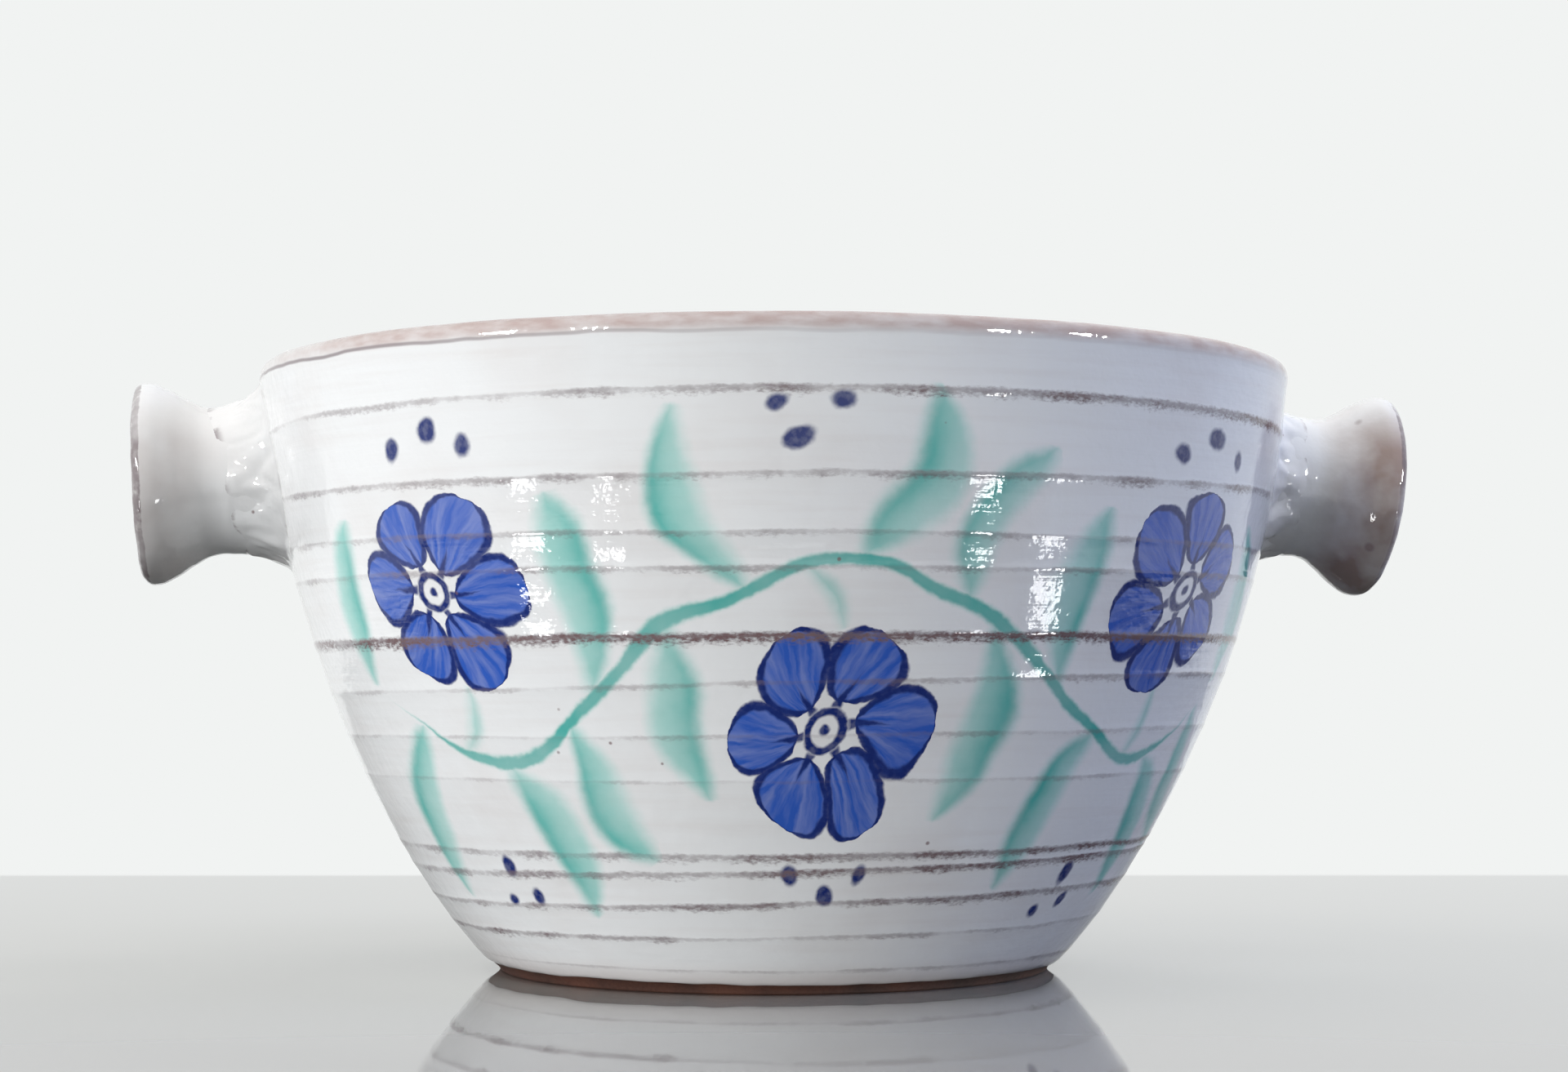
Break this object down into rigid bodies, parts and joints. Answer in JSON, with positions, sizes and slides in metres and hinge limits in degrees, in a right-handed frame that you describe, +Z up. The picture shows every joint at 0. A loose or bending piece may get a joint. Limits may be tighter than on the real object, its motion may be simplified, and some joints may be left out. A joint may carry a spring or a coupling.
{
  "type": "handled bowl",
  "caption": "Deep thrown pottery bowl with a small flat foot, a rounded rim and a flared, open spool handle stuck on each side, for serving or storing food.",
  "frame": {"origin": "centre of the foot, on the surface that the bowl stands on", "axes": "+Z up along the bowl's axis, +X out along the right handle, -Y towards the painted front"},
  "size_m": [0.2482, 0.2, 0.116],
  "materials": {
    "bowl_glaze": "glossy white tin glaze with painted sprigs, breaking brown on the throwing rings and left off the foot",
    "handle_glaze": "glossy white tin glaze, thin and brownish at the lip",
    "coil_glaze": "glossy white tin glaze over worked clay"
  },
  "bodies": {
    "root": {"bowl_body": "bowl_glaze", "right_handle": "handle_glaze", "left_handle": "handle_glaze", "right_luting_coil": "coil_glaze", "left_luting_coil": "coil_glaze"}
  },
  "joints": []
}
